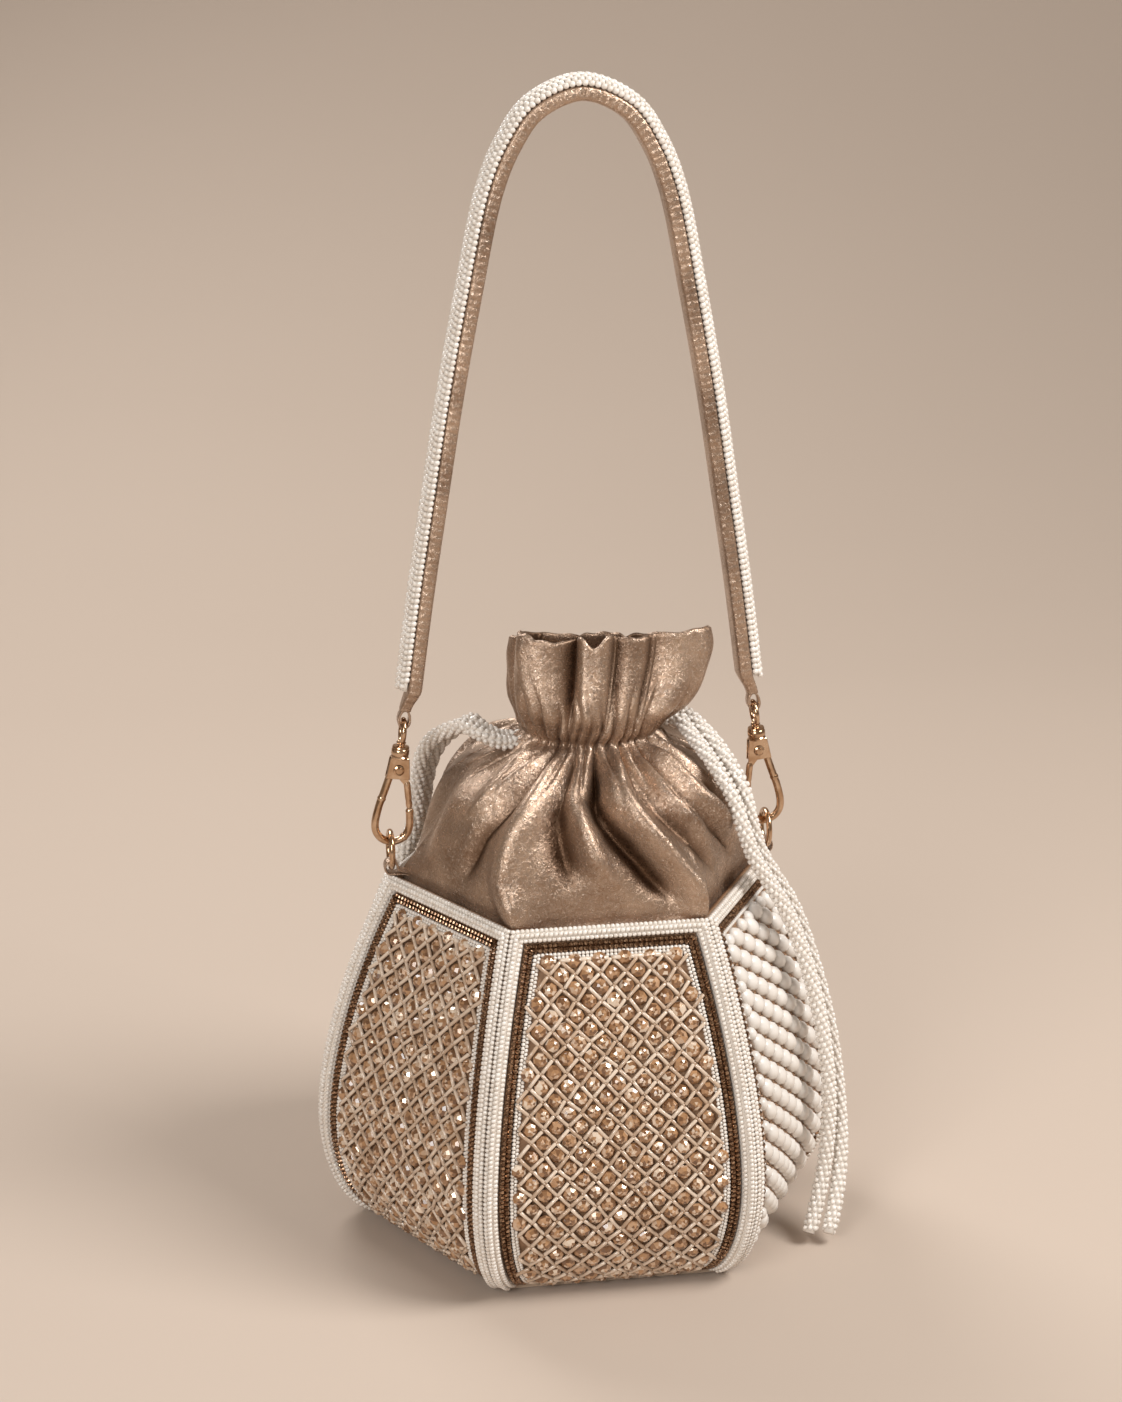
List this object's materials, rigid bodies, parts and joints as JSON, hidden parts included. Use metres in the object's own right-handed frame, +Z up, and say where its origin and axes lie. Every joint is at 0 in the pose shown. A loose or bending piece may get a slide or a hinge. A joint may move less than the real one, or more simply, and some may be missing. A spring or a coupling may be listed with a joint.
{
  "type": "potli bag",
  "caption": "Six-sided beaded potli evening bag with a gathered foil-cloth top, beaded drawstrings and a beaded strap handle on swivel snap hooks.",
  "frame": {"origin": "on the ground, under the middle of the base board, on the axis of the six-sided body", "axes": "+Z up; -Y towards the viewer of the front panel; +X along the line between the two hooks, to the viewer's right"},
  "size_m": [0.1824, 0.1602, 0.3885],
  "materials": {
    "crystal_net": "clear champagne crystals in a net of cream bugle beads",
    "white_beads": "pearly glass beads",
    "bronze_beads": "bronze faceted beads",
    "satin_lining": "satin",
    "foil_cloth": "crackled foil on cloth",
    "gold_metal": "polished pale gold plating"
  },
  "bodies": {
    "bag": {"panel_front": "crystal_net", "panel_front_left": "crystal_net", "panel_front_right": "white_beads", "panel_back": "crystal_net", "panel_back_right": "crystal_net", "panel_back_left": "white_beads", "piping_front": "white_beads", "piping_front_left": "white_beads", "piping_front_right": "white_beads", "piping_back": "white_beads", "piping_back_right": "white_beads", "piping_back_left": "white_beads", "bronze_line_front": "bronze_beads", "bronze_line_front_left": "bronze_beads", "bronze_line_front_right": "bronze_beads", "bronze_line_back": "bronze_beads", "bronze_line_back_right": "bronze_beads", "bronze_line_back_left": "bronze_beads", "base_board": "satin_lining", "lining": "satin_lining", "gathered_top": "foil_cloth", "drawstring_loop_right": "white_beads", "drawstring_loop_left": "white_beads", "drawstring_right_inner": "white_beads", "drawstring_right_outer": "white_beads", "drawstring_left_inner": "white_beads", "drawstring_left_outer": "white_beads", "ring_tab_right": "foil_cloth", "ring_tab_left": "foil_cloth"},
    "handle": {"strap_cloth": "foil_cloth", "strap_beads": "white_beads"},
    "eye_right": {"swivel_eye_right": "gold_metal"},
    "eye_left": {"swivel_eye_left": "gold_metal"},
    "snap_hook_right": {"hook_right": "gold_metal", "gate_rivet_right": "gold_metal"},
    "snap_hook_left": {"hook_left": "gold_metal", "gate_rivet_left": "gold_metal"},
    "gate_right": {"hook_gate_right": "gold_metal"},
    "gate_left": {"hook_gate_left": "gold_metal"},
    "side_ring_right": {"ring_right": "gold_metal"},
    "side_ring_left": {"ring_left": "gold_metal"}
  },
  "joints": [
    {"name": "handle_swing", "type": "hinge", "parent": "bag", "child": "handle", "pos_m": [0, 0, 0.1336], "axis": [1, 0, 0], "range_deg": [-85, 62]},
    {"name": "strap_end_right", "type": "hinge", "parent": "handle", "child": "eye_right", "pos_m": [0.05928, 0, 0.17888], "axis": [0, 1, 0], "range_deg": [-2.5, 2.5]},
    {"name": "strap_end_left", "type": "hinge", "parent": "handle", "child": "eye_left", "pos_m": [-0.05928, 0, 0.17888], "axis": [0, 1, 0], "range_deg": [-2.5, 2.5]},
    {"name": "swivel_right", "type": "hinge", "parent": "eye_right", "child": "snap_hook_right", "pos_m": [0.0645, 0, 0.1364], "axis": [-0.1219, 0, 0.9925], "range_deg": [-20, 20]},
    {"name": "swivel_left", "type": "hinge", "parent": "eye_left", "child": "snap_hook_left", "pos_m": [-0.0645, 0, 0.1364], "axis": [0.1219, 0, 0.9925], "range_deg": [-20, 20]},
    {"name": "gate_hinge_right", "type": "hinge", "parent": "snap_hook_right", "child": "gate_right", "pos_m": [0.06137, 0, 0.16191], "axis": [0, 1, 0], "range_deg": [-25, 0], "stiffness_Nm_per_rad": 0.002, "springref_deg": 5.73},
    {"name": "gate_hinge_left", "type": "hinge", "parent": "snap_hook_left", "child": "gate_left", "pos_m": [-0.06137, 0, 0.16191], "axis": [0, 1, 0], "range_deg": [0, 25], "stiffness_Nm_per_rad": 0.002, "springref_deg": -5.73},
    {"name": "ring_tilt_right", "type": "hinge", "parent": "bag", "child": "side_ring_right", "pos_m": [0.0645, 0, 0.1276], "axis": [0, 1, 0], "range_deg": [-15, 15]},
    {"name": "ring_tilt_left", "type": "hinge", "parent": "bag", "child": "side_ring_left", "pos_m": [-0.0645, 0, 0.1276], "axis": [0, 1, 0], "range_deg": [-15, 15]}
  ],
  "couplings": [
    {"joint": "ring_tilt_right", "follows": "strap_end_right", "ratio": -3.4},
    {"joint": "ring_tilt_left", "follows": "strap_end_left", "ratio": -3.4}
  ]
}
